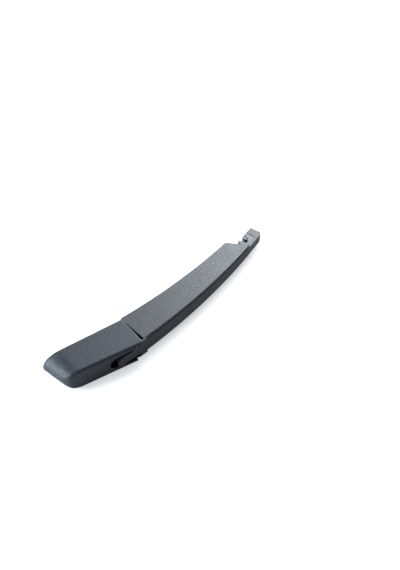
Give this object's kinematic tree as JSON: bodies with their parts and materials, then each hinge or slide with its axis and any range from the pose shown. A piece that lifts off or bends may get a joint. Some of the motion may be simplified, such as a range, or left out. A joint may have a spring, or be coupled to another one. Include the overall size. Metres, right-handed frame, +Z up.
{
  "type": "wiper arm",
  "caption": "Rear window wiper arm with a hinged, spring-pulled bowed channel arm, a flip-up head cover over the spindle seat and a snap-in clip for a blade's cross pin.",
  "frame": {"origin": "on the spindle axis, at the stud hole in the head, midway between the side faces", "axes": "+X from the spindle to the blade end, +Y toward the glass along the spindle axis, +Z up out of the side face; it lies on its side, as it rests"},
  "size_m": [0.2915, 0.0937, 0.027],
  "materials": {
    "casting": "matte",
    "cover_plastic": "fine grain",
    "arm_plastic": "fine grain",
    "clip_plastic": "satin",
    "bush_plastic": "smooth",
    "pin_steel": "bright zinc",
    "spring_steel": "oiled wire"
  },
  "bodies": {
    "head": {"head_casting": "casting", "hinge_pin": "pin_steel", "head_spring_pin": "pin_steel"},
    "cover": {"head_cover": "cover_plastic"},
    "arm": {"arm_moulding": "arm_plastic", "hinge_bushes": "bush_plastic", "arm_spring_pin": "pin_steel", "tension_spring": "spring_steel", "blade_clip": "clip_plastic", "clip_pin": "pin_steel"}
  },
  "joints": [
    {"name": "arm_lift", "type": "hinge", "parent": "head", "child": "arm", "pos_m": [0.058, -0.0095, 0], "axis": [0, 0, -1], "range_deg": [0, 58], "stiffness_Nm_per_rad": 0.5, "springref_deg": -68.75, "deforming": ["tension_spring"]},
    {"name": "cover_flip", "type": "hinge", "parent": "head", "child": "cover", "pos_m": [0.058, -0.0095, 0], "axis": [0, 0, 1], "range_deg": [0, 62]}
  ]
}
